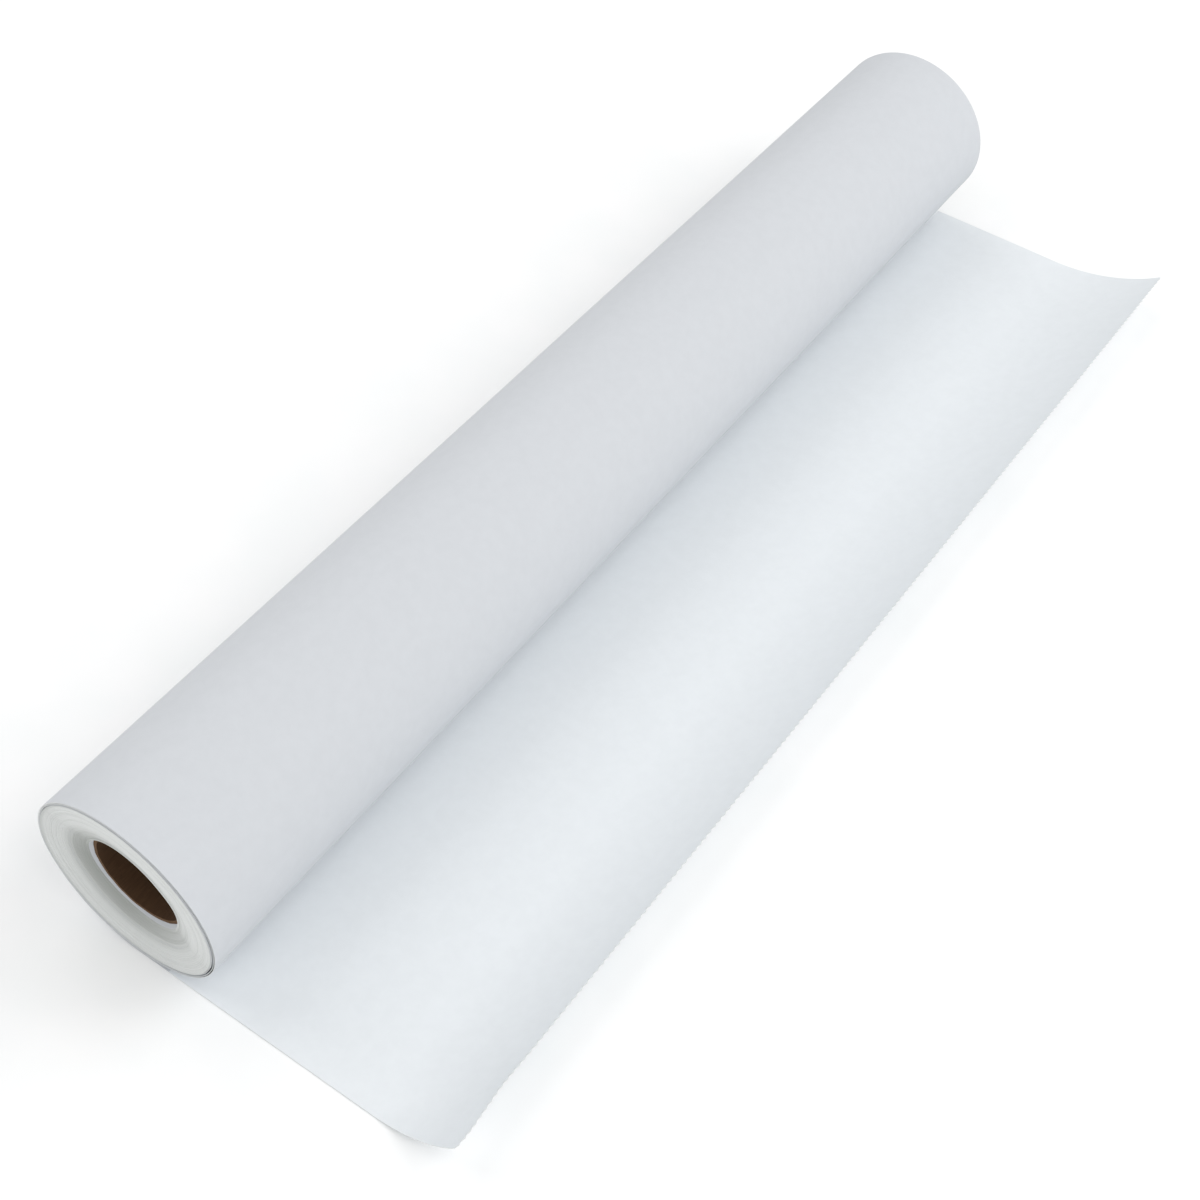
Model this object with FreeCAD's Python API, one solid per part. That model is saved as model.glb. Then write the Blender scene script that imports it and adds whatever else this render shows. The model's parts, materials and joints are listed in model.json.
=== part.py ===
import FreeCAD, Part
import math
import os

# Narrow backdrop paper roll on a spiral-wound board core, with its free end laid out flat.
# Millimetres. Y runs along the roll, X points at the free end of the sheet and Z is up.
# The origin is on the core's axis, half way along the core.

# Paper web
web_width = 450.0
paper_thickness = 0.2
web_shift = 3.5            # how far the outermost wrap has slid along the roll, towards -Y

# Board core: plies of kraft board wound on each other
core_bore_radius = 15.9    # a 1 1/4 inch core
core_ply_thickness = 0.4
core_setback = 1.5         # from the ends of the first wrap to the ends of the core

# Double-sided tape that holds the start of the web to the core
tape_thickness = 0.2
tape_width = 18.0
tape_setback = 5.5         # from the ends of the core to the ends of the tape
tape_angle = 60.0          # degrees round the core, from +X towards +Z

# Wound paper
inner_wraps_depth = 6.0    # radial depth of the first wraps, wound on the core
packed_wraps_depth = 8.1   # radial depth of the tight wraps outside them
loose_wrap_count = 3
loose_rise_near = 2.0      # slack of all the loose wraps together, at the -Y end
loose_rise_far = 0.1       # the same at the +Y end

# Sheet that has been drawn out along the floor
nip_clearance = 0.3        # from the roll to the sheet that it rests on
takeoff_angle = 25.0       # degrees of the sheet that still follow the roll, behind its lowest line
takeoff_length = 10.0      # flat part that travels with the roll
span_length = 56.0         # flat part that is taken up as the roll rolls forward
apron_length = 14.0        # flat part that stays down in front of the curl
crease_gap = 0.3           # between pieces of the sheet that move against each other
curl_radius = 55.0         # of the curled free end, on its lower face
curl_angle = 41.3          # degrees that the curl turns through

# Saw-toothed cut of the free edge
tooth_pitch = 2.7
tooth_depth = 0.7

core_ply_names = ["core_inner_ply", "core_middle_ply", "core_outer_ply"]
core_length = web_width - 2 * core_setback
core_radius = core_bore_radius + len(core_ply_names) * core_ply_thickness
tape_length = core_length - 2 * tape_setback
pack_inner_radius = core_radius + tape_thickness
inner_wraps_radius = pack_inner_radius + inner_wraps_depth
packed_wraps_radius = inner_wraps_radius + packed_wraps_depth
roll_radius_near = packed_wraps_radius + loose_wrap_count * paper_thickness + loose_rise_near
sheet_top = -(roll_radius_near + nip_clearance)
floor = sheet_top - paper_thickness
sheet_near = -web_width / 2 - web_shift
curl_start = takeoff_length + span_length + apron_length

along_roll = FreeCAD.Vector(0, 1, 0)
origin = FreeCAD.Vector(0, 0, 0)


def export(shape, node):
    """Write one sub-part as a STEP file."""
    shape.exportStep("parts/" + node + ".step")
    print(node, "solids", len(shape.Solids), "volume", round(shape.Volume, 1))


def face_from(points):
    """A flat face inside a closed loop of points."""
    return Part.Face(Part.makePolygon(points + points[:1]))


def slide_at(radius):
    """How far a wrap has slid along the roll: nothing at the core, then ever less per wrap, to web_shift."""
    share = (radius - core_radius) / (roll_radius_near - core_radius)
    return -web_shift * (1 - (1 - share) ** 2)


def wound_ring(inner_near, outer_near, inner_far, outer_far):
    """Wraps of the web: a ring as wide as the web, whose wraps have slid along the roll."""
    inner_slide = slide_at(inner_near)
    outer_slide = slide_at(outer_near)
    profile = face_from([
        FreeCAD.Vector(inner_near, inner_slide - web_width / 2, 0),
        FreeCAD.Vector(outer_near, outer_slide - web_width / 2, 0),
        FreeCAD.Vector(outer_far, outer_slide + web_width / 2, 0),
        FreeCAD.Vector(inner_far, inner_slide + web_width / 2, 0),
    ])
    return profile.revolve(origin, along_roll, 360)


def straight_ring(inner, outer, length, angle=360.0):
    """A tube, or a sector of one that starts at +X, centred on the origin."""
    profile = face_from([
        FreeCAD.Vector(inner, -length / 2, 0),
        FreeCAD.Vector(outer, -length / 2, 0),
        FreeCAD.Vector(outer, length / 2, 0),
        FreeCAD.Vector(inner, length / 2, 0),
    ])
    return profile.revolve(origin, along_roll, -angle)


def flat_strip(start, end):
    """A flat stretch of the sheet on the floor, from x = start to x = end."""
    return Part.makeBox(end - start, web_width, paper_thickness, FreeCAD.Vector(start, sheet_near, floor))


def across_web(profile):
    """Sweep a profile, drawn in the XZ plane at y = 0, over the full width of the sheet."""
    return profile.translated(FreeCAD.Vector(0, sheet_near, 0)).extrude(FreeCAD.Vector(0, web_width, 0))


def polar(centre_x, centre_z, radius, degrees):
    """A point on a circle in the XZ plane, with 0 degrees at +X and 90 at +Z."""
    angle = math.radians(degrees)
    return FreeCAD.Vector(centre_x + radius * math.cos(angle), 0, centre_z + radius * math.sin(angle))


def arc_band(centre_x, centre_z, inner, outer, start, end):
    """The closed outline of a band between two arcs of one centre, as a face."""
    middle = (start + end) / 2
    inner_arc = Part.Arc(*[polar(centre_x, centre_z, inner, a) for a in (start, middle, end)]).toShape()
    outer_arc = Part.Arc(*[polar(centre_x, centre_z, outer, a) for a in (end, middle, start)]).toShape()
    end_cap = Part.makeLine(polar(centre_x, centre_z, inner, end), polar(centre_x, centre_z, outer, end))
    start_cap = Part.makeLine(polar(centre_x, centre_z, outer, start), polar(centre_x, centre_z, inner, start))
    return Part.Face(Part.Wire([inner_arc, end_cap, outer_arc, start_cap]))


def core_plies():
    """The plies of the board core, each wound on the one inside it."""
    plies = {}
    for number, name in enumerate(core_ply_names):
        inner = core_bore_radius + number * core_ply_thickness
        plies[name] = straight_ring(inner, inner + core_ply_thickness, core_length)
    return plies


def start_tape():
    """The strip of tape between the core and the first wrap."""
    spread = math.degrees(tape_width / core_radius)
    strip = straight_ring(core_radius, pack_inner_radius, tape_length, spread)
    strip.rotate(origin, along_roll, -(tape_angle - spread / 2))
    return strip


def loose_wraps():
    """The outermost wraps, which have opened up at the -Y end and are still close at the other."""
    wraps = {}
    for number in range(1, loose_wrap_count + 1):
        paper_below = (number - 1) * paper_thickness
        near = packed_wraps_radius + paper_below + loose_rise_near * number / loose_wrap_count
        far = packed_wraps_radius + paper_below + loose_rise_far * number / loose_wrap_count
        ring = wound_ring(near, near + paper_thickness, far, far + paper_thickness)
        wraps["loose_wrap_" + str(number)] = ring
    return wraps


def sheet_takeoff():
    """The sheet where it leaves the roll: a band round the roll's underside, then a flat lip."""
    inner = -sheet_top
    band = across_web(arc_band(0, 0, inner, inner + paper_thickness, 270 - takeoff_angle, 270))
    return band.fuse(flat_strip(0, takeoff_length)).removeSplitter()


def tooth_cutter():
    """A comb that cuts the saw-toothed free edge, in the plane of the sheet's end."""
    count = max(1, round(web_width / tooth_pitch))
    pitch = web_width / count
    reach = 4 * tooth_depth
    points = [FreeCAD.Vector(reach, sheet_near - pitch, 0)]
    points.append(FreeCAD.Vector(0, sheet_near - pitch, 0))
    for number in range(count):
        valley = sheet_near + number * pitch
        points.append(FreeCAD.Vector(-tooth_depth, valley, 0))
        points.append(FreeCAD.Vector(0, valley + pitch / 2, 0))
    points.append(FreeCAD.Vector(-tooth_depth, sheet_near + web_width, 0))
    points.append(FreeCAD.Vector(0, sheet_near + web_width + pitch, 0))
    points.append(FreeCAD.Vector(reach, sheet_near + web_width + pitch, 0))
    depth = 10 * paper_thickness
    comb = face_from(points).translated(FreeCAD.Vector(0, 0, -depth / 2)).extrude(FreeCAD.Vector(0, 0, depth))
    comb.rotate(origin, along_roll, -curl_angle)
    end = polar(curl_start, floor + curl_radius, curl_radius - paper_thickness / 2, 270 + curl_angle)
    return comb.translated(end)


def sheet_free_end():
    """The curled free end, with its saw-toothed edge."""
    gap = math.degrees(crease_gap / curl_radius)
    centre_z = floor + curl_radius
    inner = curl_radius - paper_thickness
    band = across_web(arc_band(curl_start, centre_z, inner, curl_radius, 270 + gap, 270 + curl_angle))
    return band.cut(tooth_cutter())


os.makedirs("parts", exist_ok=True)

for name, ply in core_plies().items():
    export(ply, name)
export(start_tape(), "start_tape")
export(wound_ring(pack_inner_radius, inner_wraps_radius, pack_inner_radius, inner_wraps_radius), "inner_wraps")
export(wound_ring(inner_wraps_radius, packed_wraps_radius, inner_wraps_radius, packed_wraps_radius),
       "packed_wraps")
for name, wrap in loose_wraps().items():
    export(wrap, name)
export(sheet_takeoff(), "sheet_takeoff")
export(flat_strip(takeoff_length + crease_gap, takeoff_length + span_length), "sheet_span")
export(flat_strip(takeoff_length + span_length, curl_start), "sheet_apron")
export(sheet_free_end(), "sheet_free_end")

print("roll radius near", roll_radius_near, "floor", floor, "curl start", curl_start)
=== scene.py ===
import bmesh
import bpy
import json
import math
from mathutils import Matrix, Vector, noise


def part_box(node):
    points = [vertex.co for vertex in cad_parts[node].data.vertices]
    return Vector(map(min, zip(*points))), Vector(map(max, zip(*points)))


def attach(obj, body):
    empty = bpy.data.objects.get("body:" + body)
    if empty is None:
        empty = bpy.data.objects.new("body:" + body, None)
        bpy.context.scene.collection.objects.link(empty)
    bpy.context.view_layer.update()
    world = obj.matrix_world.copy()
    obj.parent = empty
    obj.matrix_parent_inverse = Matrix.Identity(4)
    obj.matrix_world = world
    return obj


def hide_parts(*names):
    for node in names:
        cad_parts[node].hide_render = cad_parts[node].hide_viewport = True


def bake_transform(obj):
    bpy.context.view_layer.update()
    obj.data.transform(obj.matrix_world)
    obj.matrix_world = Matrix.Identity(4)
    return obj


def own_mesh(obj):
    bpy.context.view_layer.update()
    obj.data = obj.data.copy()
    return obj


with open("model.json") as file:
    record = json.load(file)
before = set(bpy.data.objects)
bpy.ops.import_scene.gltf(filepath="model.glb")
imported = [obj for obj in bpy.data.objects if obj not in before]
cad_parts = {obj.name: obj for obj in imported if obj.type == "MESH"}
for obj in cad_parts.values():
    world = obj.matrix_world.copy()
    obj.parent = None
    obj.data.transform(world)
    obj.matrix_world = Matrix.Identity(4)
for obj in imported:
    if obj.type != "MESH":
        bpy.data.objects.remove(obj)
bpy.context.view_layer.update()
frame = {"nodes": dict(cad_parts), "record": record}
print("frame loaded")

mm = 0.001
fullTurn = 2 * math.pi


def hexToLinear(text):
    # sRGB hex, as a paint chart gives it, to the linear colour that a shader takes
    channels = [int(text[i:i + 2], 16) / 255 for i in (1, 3, 5)]
    linear = [c / 12.92 if c <= 0.04045 else ((c + 0.055) / 1.055) ** 2.4 for c in channels]
    return (*linear, 1.0)


def addNode(tree, kind, settings=None, links=None):
    # settings and links are keyed by a socket's name or number, or by a property's name
    node = tree.nodes.new(kind)
    for key, value in (settings or {}).items():
        if isinstance(key, int) or key in node.inputs:
            node.inputs[key].default_value = value
        else:
            setattr(node, key, value)
    for key, source in (links or {}).items():
        tree.links.new(source, node.inputs[key])
    return node


def newMaterial(name):
    material = bpy.data.materials.new(name)
    material.use_nodes = True
    tree = material.node_tree
    tree.nodes.clear()
    shader = addNode(tree, "ShaderNodeBsdfPrincipled")
    addNode(tree, "ShaderNodeOutputMaterial", links={"Surface": shader.outputs["BSDF"]})
    return material, tree, shader


def setRamp(node, positions, colours):
    # a new ramp has two elements, and every ramp here blends two colours
    for element, position, colour in zip(node.color_ramp.elements, positions, colours):
        element.position = position
        element.color = hexToLinear(colour)


def smooth(value):
    value = min(1.0, max(0.0, value))
    return value * value * (3 - 2 * value)


def mix(a, b, share):
    return a + (b - a) * share


def finishPiece(name, bm, materials, body, nodes):
    # turns a bmesh into a piece at the origin that rides on a body and stands for its CAD nodes; body is
    # None for a piece that rides on no body
    mesh = bpy.data.meshes.new(name)
    bm.to_mesh(mesh)
    bm.free()
    piece = bpy.data.objects.new(name, mesh)
    bpy.context.scene.collection.objects.link(piece)
    for material in materials:
        mesh.materials.append(material)
    if body:
        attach(piece, body)
    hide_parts(*nodes)
    return piece


def paperGrid(columns, rows, place):
    # a grid whose corner (0, 0) to (1, 1) is put in space by place(u, v); its open edges stay crisp
    bm = bmesh.new()
    bmesh.ops.create_grid(bm, x_segments=columns, y_segments=rows, size=0.5)
    for vert in bm.verts:
        vert.co = place(vert.co.x + 0.5, vert.co.y + 0.5)
    for face in bm.faces:
        face.smooth = True
    for edge in bm.edges:
        edge.smooth = not edge.is_boundary
    return bm


def addThickness(piece, thickness, weights=None, thinnest=0.05):
    # paper has its thickness to both sides of the drawn surface, and its cut edges get the second material
    solidify = piece.modifiers.new("thickness", "SOLIDIFY")
    solidify.thickness = thickness
    solidify.offset = 0
    solidify.material_offset_rim = 1
    if weights:
        group = piece.vertex_groups.new(name="thickness")
        for vert in piece.data.vertices:
            group.add([vert.index], weights(vert.co), "REPLACE")
        solidify.vertex_group = group.name
        solidify.thickness_vertex_group = thinnest


def endRadius(node, farEnd):
    # the largest radius of a round CAD node at one of its ends
    low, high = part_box(node)
    endY = high.y if farEnd else low.y
    corners = [vert.co for vert in frame["nodes"][node].data.vertices]
    return max(math.hypot(co.x, co.z) for co in corners if abs(co.y - endY) < 1 * mm)


rollLow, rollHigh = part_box("loose_wrap_3")
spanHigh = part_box("sheet_span")[1]
apronLow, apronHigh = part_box("sheet_apron")
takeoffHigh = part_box("sheet_takeoff")[1]
coreLow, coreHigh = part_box("core_inner_ply")
paperThickness = apronHigh.z - apronLow.z
floorLevel = apronLow.z
sheetMiddle = floorLevel + paperThickness / 2
webNear = rollLow.y
webFar = rollHigh.y
webWidth = webFar - webNear
nearRadius = endRadius("loose_wrap_3", False)
farRadius = endRadius("loose_wrap_3", True)
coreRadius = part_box("core_outer_ply")[1].x
innerRadius = endRadius("start_tape", False)
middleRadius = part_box("inner_wraps")[1].x
boreRadius = frame["record"]["mounts"][0]["dims"]["r_mm"] * mm


def shareAlong(y):
    # 0 at the loosened end of the roll, 1 at its tight end
    return (y - webNear) / webWidth


paperFinish = {
    "wound": ("#CCCFD3", "#CED1D5"),    # cool white, darker than the laid copy: painted shade of the roll; the first is for the thicker spots of the sheet
    "laid": ("#E4E8EB", "#E6EAED"),     # the same paper made lighter: painted light of the white table shining through one layer
    "cloudSize": 4.0,           # mm, formation clouds of the pulp
    "cloudStops": (0.35, 0.65),     # where the two colours start to blend and stop
    "toothSize": 0.55,          # mm, felt side of the sheet; its fibres are 0.03 mm, drawn coarser to show
    "toothDepth": 0.012,        # mm
    "toothBump": 0.6,
    "roughness": 0.78,
    "roughnessSpread": 0.06,    # how much rougher the high spots of the tooth are than the middle
    "ior": 1.5,
    "specular": 0.3,
}


def uncoatedPaper(name, cloudColour, plainColour):
    # uncoated wood-free paper, calendered once: dead matt, faintly cloudy, with a soft tooth
    material, tree, shader = newMaterial(name)
    place = addNode(tree, "ShaderNodeTexCoord").outputs["Object"]
    cloud = addNode(tree, "ShaderNodeTexNoise",
                    {"Scale": 1 / (paperFinish["cloudSize"] * mm), "Detail": 3.0, "Roughness": 0.6},
                    {"Vector": place})
    colour = addNode(tree, "ShaderNodeValToRGB", links={"Fac": cloud.outputs["Fac"]})
    setRamp(colour, paperFinish["cloudStops"], (cloudColour, plainColour))
    tooth = addNode(tree, "ShaderNodeTexNoise",
                    {"Scale": 1 / (paperFinish["toothSize"] * mm), "Detail": 5.0, "Roughness": 0.65},
                    {"Vector": place})
    bump = addNode(tree, "ShaderNodeBump",
                   {"Strength": paperFinish["toothBump"], "Distance": paperFinish["toothDepth"] * mm},
                   {"Height": tooth.outputs["Fac"]})
    smoothest = paperFinish["roughness"] - paperFinish["roughnessSpread"]
    roughest = paperFinish["roughness"] + paperFinish["roughnessSpread"]
    rough = addNode(tree, "ShaderNodeMapRange", {"To Min": smoothest, "To Max": roughest},
                    {"Value": tooth.outputs["Fac"]})
    tree.links.new(colour.outputs["Color"], shader.inputs["Base Color"])
    tree.links.new(rough.outputs["Result"], shader.inputs["Roughness"])
    tree.links.new(bump.outputs["Normal"], shader.inputs["Normal"])
    shader.inputs["IOR"].default_value = paperFinish["ior"]
    shader.inputs["Specular IOR Level"].default_value = paperFinish["specular"]
    return material


edgeFinish = {
    "colour": "#D9DBDA",
    "line": "#C8CBC9",          # shade between the edges of two wraps
    "lineSize": 0.42,           # mm between lines; the wraps are 0.2 mm apart, drawn at twice that to show
    "lineStops": (0.38, 0.52),
    "bandSize": 2.6,            # mm, bundles of wraps that were wound a little tighter or looser; the line colour paints shade where they step
    "dust": 0.3,                # mm, grain of the knife cut
    "paintedFunnelShade": "#A4A7A3",       # painted shade of the sunken funnel round the core, as a darker colour on the wrap edges
    "paintedShadeFrom": 27.0,        # mm from the axis, where that painted shade begins
    "paintedShadeTo": 1.2,           # mm outside the first wrap, where it is full
    "paintedShadeMost": 0.9,         # share of the painted shade where it is full
    "paintedShadeSide": 215.0,          # degrees from +X towards +Z, towards the deeper side of the funnel, which has the most of it
    "paintedShadeReach": (-20.0, 17.0),     # mm towards that side, where the painted shade is least and most
    "paintedShadeLeast": 0.1,
    "cutDepth": 0.04,           # mm
    "cutBump": 0.5,
    "roughness": 0.9,
    "specular": 0.2,
}


def slitPaperEdge():
    # the end of the roll: hundreds of knife-slit edges, which read as fine rings round the core; painted
    # shade darkens the funnel round the core, most towards its deeper side
    material, tree, shader = newMaterial("slitPaperEdge")
    place = addNode(tree, "ShaderNodeTexCoord").outputs["Object"]
    across = addNode(tree, "ShaderNodeVectorMath",
                     {"operation": "MULTIPLY", 1: (1.0, 0.0, 1.0)}, {0: place})
    radius = addNode(tree, "ShaderNodeVectorMath", {"operation": "LENGTH"}, {0: across.outputs["Vector"]})
    rings = addNode(tree, "ShaderNodeTexNoise",
                    {"noise_dimensions": "1D", "Scale": 1 / (edgeFinish["lineSize"] * mm), "Detail": 2.0},
                    {"W": radius.outputs["Value"]})
    bands = addNode(tree, "ShaderNodeTexNoise",
                    {"noise_dimensions": "1D", "Scale": 1 / (edgeFinish["bandSize"] * mm), "Detail": 1.0},
                    {"W": radius.outputs["Value"]})
    dust = addNode(tree, "ShaderNodeTexNoise", {"Scale": 1 / (edgeFinish["dust"] * mm), "Detail": 4.0},
                   {"Vector": place})
    wound = addNode(tree, "ShaderNodeMix", {"data_type": "FLOAT", "Factor": 0.6},
                    {"A": rings.outputs["Fac"], "B": bands.outputs["Fac"]})
    both = addNode(tree, "ShaderNodeMix", {"data_type": "FLOAT", "Factor": 0.2},
                   {"A": wound.outputs["Result"], "B": dust.outputs["Fac"]})
    # rings and bands blend to the line colour: painted shade between wraps and between bundles of wraps
    edgeWithRingShade = addNode(tree, "ShaderNodeValToRGB", links={"Fac": both.outputs["Result"]})
    setRamp(edgeWithRingShade, edgeFinish["lineStops"], (edgeFinish["line"], edgeFinish["colour"]))
    # painted shade of the funnel: darker towards the core, and most on the side where the wraps sit deepest
    paintedShadeByRadius = addNode(tree, "ShaderNodeMapRange",
                       {"interpolation_type": "SMOOTHSTEP", "From Min": edgeFinish["paintedShadeFrom"] * mm,
                        "From Max": innerRadius + edgeFinish["paintedShadeTo"] * mm,
                        "To Max": edgeFinish["paintedShadeMost"]},
                       {"Value": radius.outputs["Value"]})
    towards = math.radians(edgeFinish["paintedShadeSide"])
    side = addNode(tree, "ShaderNodeVectorMath",
                   {"operation": "DOT_PRODUCT", 1: (math.cos(towards), 0.0, math.sin(towards))}, {0: place})
    least, most = edgeFinish["paintedShadeReach"]
    paintedShadeBySide = addNode(tree, "ShaderNodeMapRange",
                      {"From Min": least * mm, "From Max": most * mm,
                       "To Min": edgeFinish["paintedShadeLeast"], "To Max": 1.0},
                      {"Value": side.outputs["Value"]})
    paintedShadeShare = addNode(tree, "ShaderNodeMath", {"operation": "MULTIPLY"},
                   {0: paintedShadeByRadius.outputs["Result"], 1: paintedShadeBySide.outputs["Result"]})
    # the wrap edges are mixed towards the painted shade colour of the funnel
    colour = addNode(tree, "ShaderNodeMix", {"data_type": "RGBA", 7: hexToLinear(edgeFinish["paintedFunnelShade"])},
                     {0: paintedShadeShare.outputs["Value"], 6: edgeWithRingShade.outputs["Color"]})
    bump = addNode(tree, "ShaderNodeBump",
                   {"Strength": edgeFinish["cutBump"], "Distance": edgeFinish["cutDepth"] * mm},
                   {"Height": both.outputs["Result"]})
    tree.links.new(colour.outputs[2], shader.inputs["Base Color"])
    tree.links.new(bump.outputs["Normal"], shader.inputs["Normal"])
    shader.inputs["Roughness"].default_value = edgeFinish["roughness"]
    shader.inputs["Specular IOR Level"].default_value = edgeFinish["specular"]
    return material


boardFinish = {
    # both browns are darker than the board is in full light: partly its own brown, partly painted shade of
    # the bore
    "liner": ("#4A3423", "#5E452F"),
    "ply": ("#59432F", "#6B523B"),
    "fibreWidth": 0.35,         # mm
    "fibreLength": 5.0,         # mm
    "fibreStops": (0.3, 0.7),
    "fibreSlant": 20.0,         # degrees, as the ribbon runs round the core
    "fibreDepth": 0.06,         # mm
    "fibreBump": 0.7,
    "speckSize": 1.1,           # mm, bark specks of the recycled pulp
    "speckReach": (0.05, 0.22),     # of the distance between specks, full and gone
    "speckShade": 0.55,
    "speckStrength": 0.7,
    "roughness": 0.86,
    "specular": 0.25,
}


def kraftBoard(name, dark, light):
    # unbleached recycled kraft board: brown, darkened with painted shade of the bore, fibrous along the
    # ply, with darker specks, fully matt
    material, tree, shader = newMaterial(name)
    place = addNode(tree, "ShaderNodeTexCoord").outputs["Object"]
    stretch = boardFinish["fibreWidth"] / boardFinish["fibreLength"]
    slant = math.radians(boardFinish["fibreSlant"])
    lengthwise = addNode(tree, "ShaderNodeMapping",
                         {"Rotation": (0.0, 0.0, slant), "Scale": (1.0, stretch, 1.0)}, {"Vector": place})
    fibres = addNode(tree, "ShaderNodeTexNoise",
                     {"Scale": 1 / (boardFinish["fibreWidth"] * mm), "Detail": 4.0, "Roughness": 0.7},
                     {"Vector": lengthwise.outputs["Vector"]})
    colour = addNode(tree, "ShaderNodeValToRGB", links={"Fac": fibres.outputs["Fac"]})
    setRamp(colour, boardFinish["fibreStops"], (dark, light))
    specks = addNode(tree, "ShaderNodeTexVoronoi", {"Scale": 1 / (boardFinish["speckSize"] * mm)},
                     {"Vector": place})
    full, gone = boardFinish["speckReach"]
    speckMask = addNode(tree, "ShaderNodeMapRange",
                        {"From Min": full, "From Max": gone, "To Min": boardFinish["speckShade"],
                         "To Max": 1.0},
                        {"Value": specks.outputs["Distance"]})
    speckled = addNode(tree, "ShaderNodeMix",
                       {"data_type": "RGBA", "blend_type": "MULTIPLY",
                        "Factor": boardFinish["speckStrength"]},
                       {6: colour.outputs["Color"], 7: speckMask.outputs["Result"]})
    bump = addNode(tree, "ShaderNodeBump",
                   {"Strength": boardFinish["fibreBump"], "Distance": boardFinish["fibreDepth"] * mm},
                   {"Height": fibres.outputs["Fac"]})
    tree.links.new(speckled.outputs[2], shader.inputs["Base Color"])
    tree.links.new(bump.outputs["Normal"], shader.inputs["Normal"])
    shader.inputs["Roughness"].default_value = boardFinish["roughness"]
    shader.inputs["Specular IOR Level"].default_value = boardFinish["specular"]
    return material


tapeFinish = {
    "colour": "#D8CDB0",
    # the crease colour lies in the hollows of the creases: painted shade
    "crease": "#C4B794",
    "creaseSize": 1.5,          # mm between the creases of the tissue
    "creaseStops": (0.4, 0.6),
    "creaseDepth": 0.04,        # mm
    "creaseBump": 0.4,
    "roughness": 0.42,
}


def tissueTape():
    # double-sided tissue tape: a yellowish adhesive film with fine creases, with painted shade in their
    # hollows, half gloss
    material, tree, shader = newMaterial("doubleSidedTissueTape")
    place = addNode(tree, "ShaderNodeTexCoord").outputs["Object"]
    crease = addNode(tree, "ShaderNodeTexNoise",
                     {"Scale": 1 / (tapeFinish["creaseSize"] * mm), "Detail": 3.0, "Distortion": 0.6},
                     {"Vector": place})
    colour = addNode(tree, "ShaderNodeValToRGB", links={"Fac": crease.outputs["Fac"]})
    setRamp(colour, tapeFinish["creaseStops"], (tapeFinish["crease"], tapeFinish["colour"]))
    bump = addNode(tree, "ShaderNodeBump",
                   {"Strength": tapeFinish["creaseBump"], "Distance": tapeFinish["creaseDepth"] * mm},
                   {"Height": crease.outputs["Fac"]})
    tree.links.new(colour.outputs["Color"], shader.inputs["Base Color"])
    tree.links.new(bump.outputs["Normal"], shader.inputs["Normal"])
    shader.inputs["Roughness"].default_value = tapeFinish["roughness"]
    return material


# two copies of one paper: the darker one paints the shade of the roll, the lighter one the light through
# the laid sheet
shadedPaperMaterial = uncoatedPaper("uncoatedBackdropPaperPaintedShade", *paperFinish["wound"])
litPaperMaterial = uncoatedPaper("uncoatedBackdropPaperPaintedLight", *paperFinish["laid"])
edgeMaterial = slitPaperEdge()
linerMaterial = kraftBoard("kraftLinerBoard", *boardFinish["liner"])
plyMaterial = kraftBoard("recycledPlyBoard", *boardFinish["ply"])
tapeMaterial = tissueTape()
print("materials made")


winding = {
    "looseTurns": 3,
    "openAngle": 28.0,          # degrees from +X towards +Z, where the loose wraps stand furthest apart
    "openSlack": 1.6,           # mm between the pack and the outermost wrap there, at the loosened end
    "closedSlack": 0.06,        # mm on the other side
    "tightSlack": 0.06,         # mm all round at the tight end
    "tightenPower": 0.6,        # below 1 the roll tightens soon after the loosened end
    "openPower": 1.6,           # above 1 the outer wraps stay together and the inner gap grows
    "dent": 0.10,               # mm, shallow unevenness of the outer wraps
    "dentWaves": ((2, 9.0, 0.0, 1.0), (3, -23.0, 1.0, 0.6), (5, 41.0, 0.0, 0.4)),
    # each is the number round the roll, the twist in radians per m along it, the phase and the share
    "openPeak": 1.5,            # above 1 the open side is narrower
    "recessTilt": 1.25,         # mm that the slid wraps are deeper on one side of the loosened end
    "recessAngle": 235.0,       # degrees from +X towards +Z, that side
    "recessPower": 1.5,         # above 1 it is deeper only near the core
    "recessWander": 0.22,       # mm, how unevenly they have slid
    "recessWanderSize": 2.2,    # mm outwards, from one uneven place to the next
    "recessWanderRound": 1.3,   # how often it changes round the roll
    "innermostLip": 0.45,       # mm that the first wraps stand out of the funnel
    "lipWidth": 1.0,            # mm of wraps that do so
    "lipFade": 0.5,             # mm over which that ends
    "edgeRipple": 0.10,         # mm, how unevenly the edges of neighbouring wraps line up
    "rippleSizes": (0.9, 0.31),     # mm, a coarse and a fine ripple
    "edgeGroove": 0.07,         # mm, depth of the fine groove between two of them
    "grooveStart": 0.82,        # share of a wrap's thickness that is flat
    "grooveBottom": 0.91,       # share at which the groove is deepest
    "stepOut": 0.05,            # mm that each loose wrap stands further out than the next one in
    "wobble": 0.18,             # mm, how unevenly they do
    "segments": 120,            # round the tight wraps
    "stripArea": 5.0,           # mm2, under every face along the roll and over every face of an edge
    "looseGrid": (180, 36),     # round and along each loose wrap
}


def rollRadius(y):
    return mix(nearRadius, farRadius, shareAlong(y))


def dentAt(angle, y):
    # long shallow waves; whole numbers of waves round the roll, so that they close
    wave = 0.0
    for count, twist, phase, share in winding["dentWaves"]:
        wave += share * math.sin(count * angle + twist * y + phase)
    return winding["dent"] * mm * (wave / 2 - 1)


def slackAt(angle, y):
    facing = 0.5 + 0.5 * math.cos(angle - math.radians(winding["openAngle"]))
    near = mix(winding["closedSlack"], winding["openSlack"], facing ** winding["openPeak"])
    return mix(near, winding["tightSlack"], smooth(shareAlong(y)) ** winding["tightenPower"]) * mm


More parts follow.
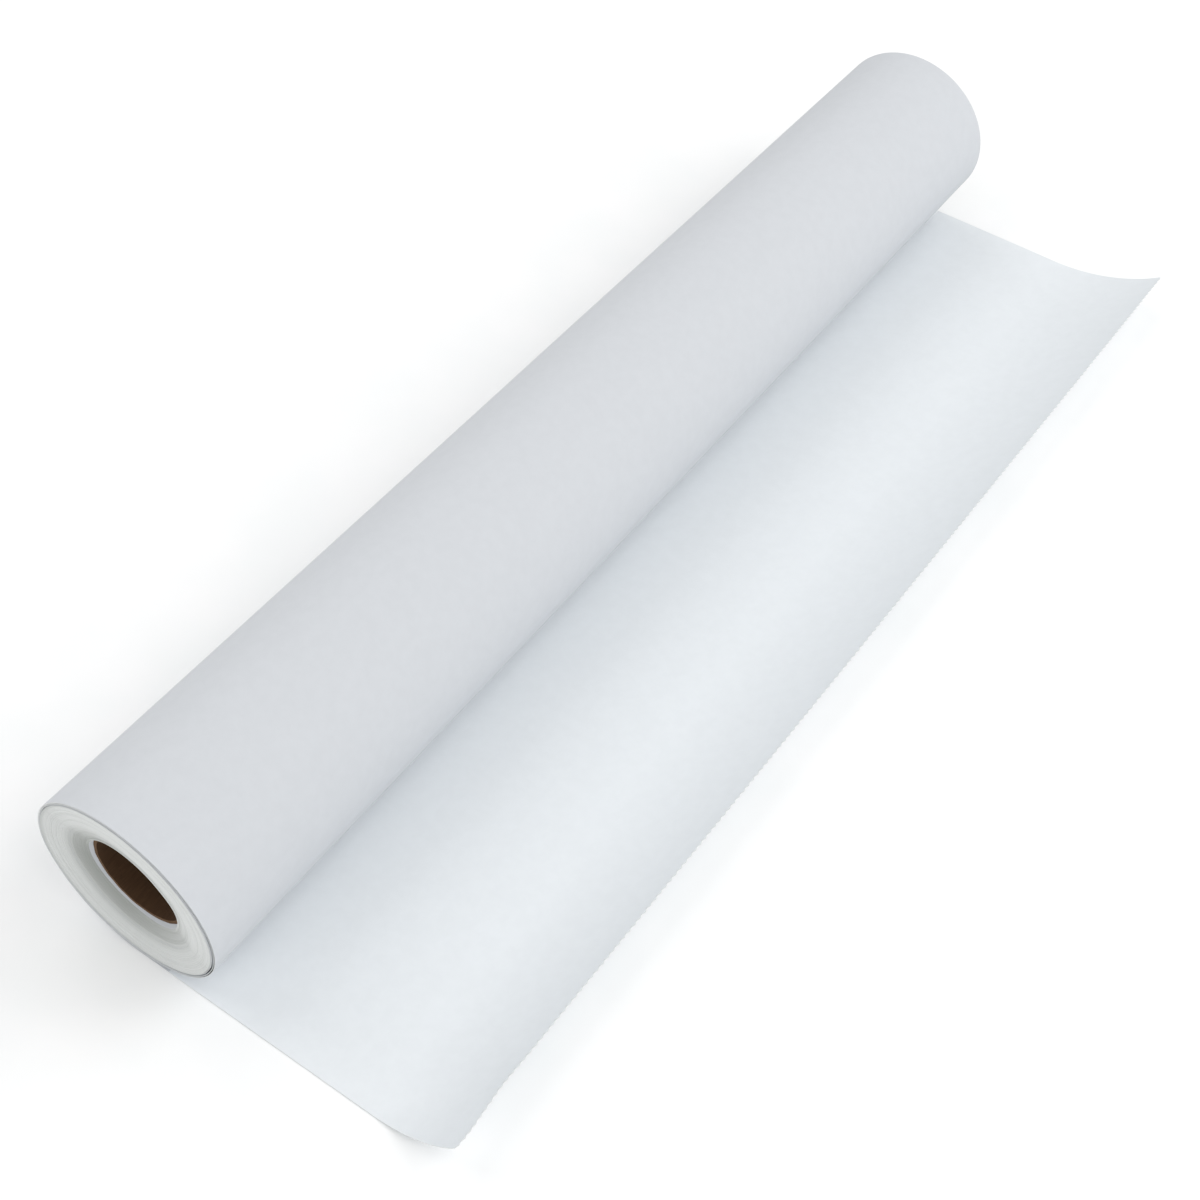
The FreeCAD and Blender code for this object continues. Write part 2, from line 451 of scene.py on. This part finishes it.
def packRadius(angle, y):
    # outside of the tight wraps
    return rollRadius(y) - (winding["looseTurns"] + 1) * paperThickness - slackAt(angle, y)


def spiralAngle(turn):
    # the web leaves the roll at its lowest line; going back along it, the angle falls
    return 1.5 * math.pi - fullTurn * turn


def spiralRadius(turn, y):
    # middle of the paper: turn 0 is where the sheet leaves the roll, and the last turn lies on the pack
    angle = spiralAngle(turn)
    turns = winding["looseTurns"]
    opened = 1 - (turn / turns) ** winding["openPower"]
    base = packRadius(angle, y) + paperThickness / 2
    fade = 1 - turn / turns
    return base + (turns - turn) * paperThickness + slackAt(angle, y) * opened + dentAt(angle, y) * fade


def slideAt(radius):
    # how far a wrap has slid along the roll, as in the frame: none at the core, most at the outside
    share = (radius - coreRadius) / (nearRadius - coreRadius)
    return (webNear + webWidth / 2) * (1 - (1 - share) ** 2)


def onRoll(radius, angle, y):
    return Vector((radius * math.cos(angle), y, radius * math.sin(angle)))


# the tight wraps are two rings whose ends show the edge of every wrap
def wrapEdges(inner, outer, atFarEnd):
    # profile of one end: each wrap is a flat edge with a fine groove beside it
    # 3.7, 9.1 and the like only pick a place in the noise
    count = round((outer - inner) / paperThickness)
    step = (outer - inner) / count
    side = 1 if atFarEnd else -1
    coarse, fine = winding["rippleSizes"]
    lipEdge = innerRadius + winding["lipWidth"] * mm
    points = []
    for index in range(count):
        start = inner + index * step
        ripple = noise.noise(Vector((start / (coarse * mm), side * 3.7, 0.0)))
        ripple += 0.5 * noise.noise(Vector((start / (fine * mm), side * 9.1, 2.0)))
        y = slideAt(start) + ripple * winding["edgeRipple"] * mm
        lip = smooth((lipEdge - start) / (winding["lipFade"] * mm)) * winding["innermostLip"] * mm
        edgeY = side * (webWidth / 2 + (lip if side < 0 else -lip)) + y
        grooveY = edgeY - side * winding["edgeGroove"] * mm
        points.append(Vector((start, edgeY, 0)))
        points.append(Vector((start + winding["grooveStart"] * step, edgeY, 0)))
        points.append(Vector((start + winding["grooveBottom"] * step, grooveY, 0)))
    return points


def tightWraps(name, node, inner, outer, stretched):
    near = wrapEdges(inner, outer, False)
    far = wrapEdges(inner, outer, True)
    far.append(Vector((outer, far[-2].y, 0)))
    near.append(Vector((outer, near[-2].y, 0)))
    loop = near + far[::-1]
    bm = bmesh.new()
    verts = [bm.verts.new(p) for p in loop]
    edges = [bm.edges.new((a, b)) for a, b in zip(verts, verts[1:] + verts[:1])]
    bmesh.ops.spin(bm, geom=verts + edges, cent=(0, 0, 0), axis=(0, 1, 0), angle=fullTurn,
                   steps=winding["segments"], use_merge=True)
    deepest = math.radians(winding["recessAngle"])
    patch = winding["recessWanderSize"] * mm
    often = winding["recessWanderRound"]
    for vert in bm.verts:
        radius = math.hypot(vert.co.x, vert.co.z)
        angle = math.atan2(vert.co.z, vert.co.x)
        depth = 1 - (radius - innerRadius) / (nearRadius - innerRadius)
        tilt = winding["recessTilt"] * mm * depth ** winding["recessPower"] * math.cos(angle - deepest)
        wander = noise.noise(Vector((radius / patch, math.cos(angle) * often, math.sin(angle) * often)))
        y = vert.co.y + tilt + wander * winding["recessWander"] * mm * smooth(depth * 3)
        if stretched:
            share = (radius - inner) / (outer - inner)
            radius = mix(inner, packRadius(angle, y), share)
        vert.co = onRoll(radius, angle, y)
    bmesh.ops.recalc_face_normals(bm, faces=bm.faces[:])
    for face in bm.faces:
        # the long faces along the roll are smooth paper, and all the narrow ones are cut edges
        lengthwise = abs(face.normal.y) < 0.05 and face.calc_area() > winding["stripArea"] * mm * mm
        face.material_index = 1 if lengthwise else 0
        face.smooth = lengthwise
    return finishPiece(name, bm, [edgeMaterial, shadedPaperMaterial], "roll", [node])


tightWraps("innerWraps", "inner_wraps", innerRadius, middleRadius, False)
tightWraps("packedWraps", "packed_wraps", middleRadius, endRadius("packed_wraps", False), True)
print("tight wraps wound")


# each loose wrap is one turn of the spiral
def looseWrap(number):
    lastTurn = winding["looseTurns"] + 1 - number

    def place(u, v):
        turn = lastTurn - 1 + u
        y = webNear + webWidth * v
        wobble = noise.noise(Vector((turn * 4.0, 5.5, 0.0))) * winding["wobble"] * mm
        slid = turn * winding["stepOut"] * mm + wobble
        return onRoll(spiralRadius(turn, y), spiralAngle(turn), y + slid)

    bm = paperGrid(*winding["looseGrid"], place)
    piece = finishPiece("looseWrap" + str(number), bm, [shadedPaperMaterial, edgeMaterial], "roll",
                        ["loose_wrap_" + str(number)])
    addThickness(piece, paperThickness)
    return piece


for wrapNumber in range(1, winding["looseTurns"] + 1):
    looseWrap(wrapNumber)
print("loose wraps wound")


# the board core: three plies, each a spiral ribbon with an open butt seam
core = {
    "ribbonPitch": 88.0,        # mm along the core for one turn of a ply
    "seamGap": 0.5,             # mm left open between the ribbon's edges
    "columnsPerTurn": 96,
    "rimWear": 0.12,            # mm, unevenness of the sawn ends
    "plies": 3,
}


def corePly(name, node, inner, outer, start, material):
    pitch = core["ribbonPitch"] * mm
    gap = core["seamGap"] * mm
    length = coreHigh.y - coreLow.y
    turns = math.ceil(length / pitch) + 2
    middle = (inner + outer) / 2

    def place(u, v):
        along = coreLow.y - pitch * (1 + start) + pitch * turns * u + v * (pitch - gap)
        return onRoll(middle, fullTurn * turns * u, along)

    bm = paperGrid(core["columnsPerTurn"] * turns, 2, place)
    for end, outward in ((coreLow.y, -1), (coreHigh.y, 1)):
        bmesh.ops.bisect_plane(bm, geom=bm.verts[:] + bm.edges[:] + bm.faces[:], plane_co=(0, end, 0),
                               plane_no=(0, outward, 0), clear_outer=True)
    for edge in bm.edges:
        edge.smooth = not edge.is_boundary
    for vert in bm.verts:
        if min(vert.co.y - coreLow.y, coreHigh.y - vert.co.y) < 0.01 * mm:
            roundRim = Vector((vert.co.x, vert.co.z, 0)).normalized() * 6
            vert.co.y += core["rimWear"] * mm * noise.noise(roundRim)
    piece = finishPiece(name, bm, [material, plyMaterial], "roll", [node])
    addThickness(piece, outer - inner)
    return piece


plyThickness = (coreRadius - boreRadius) / core["plies"]
plyRadii = [boreRadius + plyThickness * number for number in range(core["plies"] + 1)]
corePly("coreInnerPly", "core_inner_ply", plyRadii[0], plyRadii[1], 0.35, linerMaterial)
corePly("coreMiddlePly", "core_middle_ply", plyRadii[1], plyRadii[2], 0.85, plyMaterial)
corePly("coreOuterPly", "core_outer_ply", plyRadii[2], plyRadii[3], 0.1, linerMaterial)
frame["nodes"]["start_tape"].data.materials.clear()
frame["nodes"]["start_tape"].data.materials.append(tapeMaterial)
print("core wound")


# the sheet where it leaves the roll
takeoff = {
    "topAngle": 212.0,          # degrees, where the sheet starts to follow the roll
    "featherAngle": 236.0,      # degrees, up to where it thins out onto the wrap below
    "leaveX": -15.0,            # mm, where it starts to come down to the floor
    "clearance": 0.04,          # mm between it and the outermost wrap
    "sunk": 0.4,                # mm that its feathered start lies below that wrap, so that no step shows
    "flatLength": 2.0,          # mm, flat on the floor before the laid sheet begins
    "grid": (96, 36),           # round and along
}


leaveX = takeoff["leaveX"] * mm


def takeoffRadius(y):
    return rollRadius(y) + takeoff["clearance"] * mm + paperThickness / 2


def featherAt(degrees):
    return smooth((degrees - takeoff["topAngle"]) / (takeoff["featherAngle"] - takeoff["topAngle"]))


def takeoffArc(radius):
    leaveAngle = fullTurn - math.acos(leaveX / radius)
    return radius * (leaveAngle - math.radians(takeoff["topAngle"]))


def takeoffPoint(u, v):
    # round the roll first, then down to the floor, where the last stretch is flat
    y = webNear + webWidth * v
    radius = takeoffRadius(y)
    arc = takeoffArc(radius)
    travelled = u * (arc + takeoffHigh.x - leaveX)
    if travelled < arc:
        angle = math.radians(takeoff["topAngle"]) + travelled / radius
        return onRoll(radius - takeoff["sunk"] * mm * (1 - featherAt(math.degrees(angle))), angle, y)
    x = leaveX + travelled - arc
    onCircle = -math.sqrt(radius * radius - x * x)
    flatX = takeoffHigh.x - takeoff["flatLength"] * mm
    return Vector((x, y, mix(onCircle, sheetMiddle, smooth((x - leaveX) / (flatX - leaveX)))))


def takeoffWeight(co):
    return featherAt(math.degrees(math.atan2(co.z, co.x)) % 360)


takeoffPiece = finishPiece("sheetTakeoff", paperGrid(*takeoff["grid"], takeoffPoint),
                           [shadedPaperMaterial, edgeMaterial], "nip", ["sheet_takeoff"])
addThickness(takeoffPiece, paperThickness, takeoffWeight)


# the flat sheet and its curled end
sheet = {
    "length": 53.7,             # mm from the start of the apron to the tips of the teeth
    "curlStart": (86.0, 73.0),  # mm in X, at the loosened end and at the tight end of the roll
    "curlRadius": (40.3, 75.3), # mm
    "toothPitch": 2.7,          # mm
    "toothDepth": 0.7,          # mm
    "cornerReach": 28.0,        # mm along the cut, where the near corner has gone limp
    "cornerShift": 4.0,         # mm, how much later the curl starts there
    "cornerExtra": 1.4,         # mm, how far the cut runs out there
    "dogEar": 35.0,             # mm, size of the bent tip of the corner
    "dogEarLift": 5.7,          # mm
    "dogEarBend": 1.6,          # 1 is a straight fold, and above 1 a round bend
    "swell": 0.12,              # mm, how much the flat paper lifts off the floor here and there
    "swellSize": (45.0, 110.0),     # mm in X and along the roll, from one such place to the next
    "swellFrom": 20.0,          # mm from the roll, where it is free to lift
    "bend": 16.0,               # mm of paper that bends where the free end is lifted
    "spanGrid": (24, 72),       # across and along
    "endColumns": 40,           # across the apron and the curl
}


def swellAt(x, y):
    # the flat paper is not dead flat; nothing near the roll, where it is pressed down
    sizeX, sizeY = sheet["swellSize"]
    lift = noise.noise(Vector((x / (sizeX * mm), y / (sizeY * mm), 1.5))) + 1
    return lift / 2 * sheet["swell"] * mm * smooth((x - takeoffHigh.x) / (sheet["swellFrom"] * mm))


def spanPoint(u, v):
    x = mix(takeoffHigh.x, spanHigh.x, u)
    y = webNear + webWidth * v
    return Vector((x, y, sheetMiddle + swellAt(x, y)))


def atCorner(y):
    # 1 at the near edge of the sheet, falling to 0 where the limp corner ends
    return smooth(1 - (y - webNear) / (sheet["cornerReach"] * mm))


def sheetLength(y):
    return (sheet["length"] + sheet["cornerExtra"] * atCorner(y)) * mm


def curlPoint(distance, y):
    # distance is measured along the paper from the start of the apron
    share = shareAlong(y)
    start = mix(*sheet["curlStart"], share) * mm
    radius = mix(*sheet["curlRadius"], share) * mm
    start += sheet["cornerShift"] * mm * atCorner(y)
    flat = start - apronLow.x
    if distance <= flat:
        x = apronLow.x + distance
        return Vector((x, y, sheetMiddle + swellAt(x, y)))
    angle = (distance - flat) / radius
    height = swellAt(start, y) + radius * (1 - math.cos(angle))
    point = Vector((start + radius * math.sin(angle), y, sheetMiddle + height))
    toTip = (sheetLength(y) - distance + y - webNear) / (sheet["dogEar"] * mm)
    point.z += sheet["dogEarLift"] * mm * max(0.0, 1 - toTip) ** sheet["dogEarBend"]
    return point


teeth = round(webWidth / (sheet["toothPitch"] * mm))
lastRow = 1 - 0.5 / sheet["endColumns"]


def endPoint(u, v):
    # the last row is the saw-toothed cut: every other vertex is a valley
    y = webNear + webWidth * v
    distance = sheetLength(y) * u
    if u > lastRow and round(v * teeth * 2) % 2 == 0:
        distance -= sheet["toothDepth"] * mm
    return curlPoint(distance, y)


spanPiece = finishPiece("sheetSpan", paperGrid(*sheet["spanGrid"], spanPoint),
                        [litPaperMaterial, edgeMaterial], "laid_sheet", ["sheet_span"])
addThickness(spanPiece, paperThickness)
endPiece = finishPiece("sheetFreeEnd", paperGrid(sheet["endColumns"], teeth * 2, endPoint),
                       [litPaperMaterial, edgeMaterial], None,
                       ["sheet_apron", "sheet_free_end"])
addThickness(endPiece, paperThickness)
print("sheet laid out")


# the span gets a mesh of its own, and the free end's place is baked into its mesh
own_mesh(spanPiece)
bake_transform(endPiece)


# floor, light and camera
stage = {
    "floor": "#FAFBFB",
    "floorPale": "#FDFDFD",
    "floorSize": 30.0,          # m
    "floorMottle": 25.0,        # mm
    "floorStops": (0.3, 0.7),
    "floorRoughness": 0.9,
    "floorSpecular": 0.1,
    "floorGap": 0.1,            # mm under the sheet
    "sky": "#FFFFFF",
    "skyStrength": 0.47,
    "softboxes": {              # place in m, width and height in m, and W
        "rightSoftbox": ((0.9, 0.0, 0.8), 1.0, 1.4, 5.1),
        "leftSoftbox": ((-0.9, 0.0, 0.8), 1.4, 1.6, 6.8),
        "frontSoftbox": ((0.1, -1.2, 0.5), 1.2, 1.0, 4.2),
        "backSoftbox": ((0.7, 0.8, 0.9), 1.0, 1.0, 6.0),
    },
    "lightTargetX": 30.0,       # mm, between the roll and the free end
    "camera": (276.8, -404.3, 486.4),   # mm
    "target": (28.9, -35.1, -34.5),     # mm, a point on the sheet
    "roll": 1.93,               # degrees, anticlockwise seen from behind the camera
    "lens": 59.7,               # mm on a 36 mm sensor
}


def pressedFloor():
    # matt white tabletop laminate: very faint mottling, so that it is not dead flat
    material, tree, shader = newMaterial("whiteTabletopLaminate")
    place = addNode(tree, "ShaderNodeTexCoord").outputs["Object"]
    mottle = addNode(tree, "ShaderNodeTexNoise",
                     {"Scale": 1 / (stage["floorMottle"] * mm), "Detail": 2.0}, {"Vector": place})
    colour = addNode(tree, "ShaderNodeValToRGB", links={"Fac": mottle.outputs["Fac"]})
    setRamp(colour, stage["floorStops"], (stage["floor"], stage["floorPale"]))
    tree.links.new(colour.outputs["Color"], shader.inputs["Base Color"])
    shader.inputs["Roughness"].default_value = stage["floorRoughness"]
    shader.inputs["Specular IOR Level"].default_value = stage["floorSpecular"]
    return material


def placeAt(thing, position, target):
    # points a light's or camera's -Z axis at a target
    thing.location = Vector(position)
    thing.rotation_euler = (Vector(target) - Vector(position)).to_track_quat("-Z", "Y").to_euler()


floorMesh = bmesh.new()
bmesh.ops.create_grid(floorMesh, x_segments=1, y_segments=1, size=stage["floorSize"] / 2)
bmesh.ops.translate(floorMesh, verts=floorMesh.verts[:], vec=(0, 0, floorLevel - stage["floorGap"] * mm))
floorData = bpy.data.meshes.new("floor")
floorMesh.to_mesh(floorData)
floorMesh.free()
floor = bpy.data.objects.new("floor", floorData)
floorData.materials.append(pressedFloor())
bpy.context.scene.collection.objects.link(floor)

world = bpy.data.worlds.new("softSurround")
bpy.context.scene.world = world
world.use_nodes = True
world.node_tree.nodes["Background"].inputs["Color"].default_value = hexToLinear(stage["sky"])
world.node_tree.nodes["Background"].inputs["Strength"].default_value = stage["skyStrength"]

for lightName, (lightPlace, width, height, power) in stage["softboxes"].items():
    lightData = bpy.data.lights.new(lightName, "AREA")
    lightData.shape = "RECTANGLE"
    lightData.size = width
    lightData.size_y = height
    lightData.energy = power
    softbox = bpy.data.objects.new(lightName, lightData)
    bpy.context.scene.collection.objects.link(softbox)
    placeAt(softbox, lightPlace, (stage["lightTargetX"] * mm, 0, floorLevel))

cameraData = bpy.data.cameras.new("camera")
cameraData.lens = stage["lens"]
cameraData.clip_start = 0.01
camera = bpy.data.objects.new("camera", cameraData)
bpy.context.scene.collection.objects.link(camera)
placeAt(camera, [c * mm for c in stage["camera"]], [c * mm for c in stage["target"]])
camera.rotation_euler = (camera.rotation_euler.to_matrix()
                         @ Matrix.Rotation(math.radians(stage["roll"]), 3, "Z")).to_euler()
bpy.context.scene.camera = camera
bpy.context.scene.view_settings.view_transform = "Standard"
print("stage set")

bpy.context.view_layer.update()
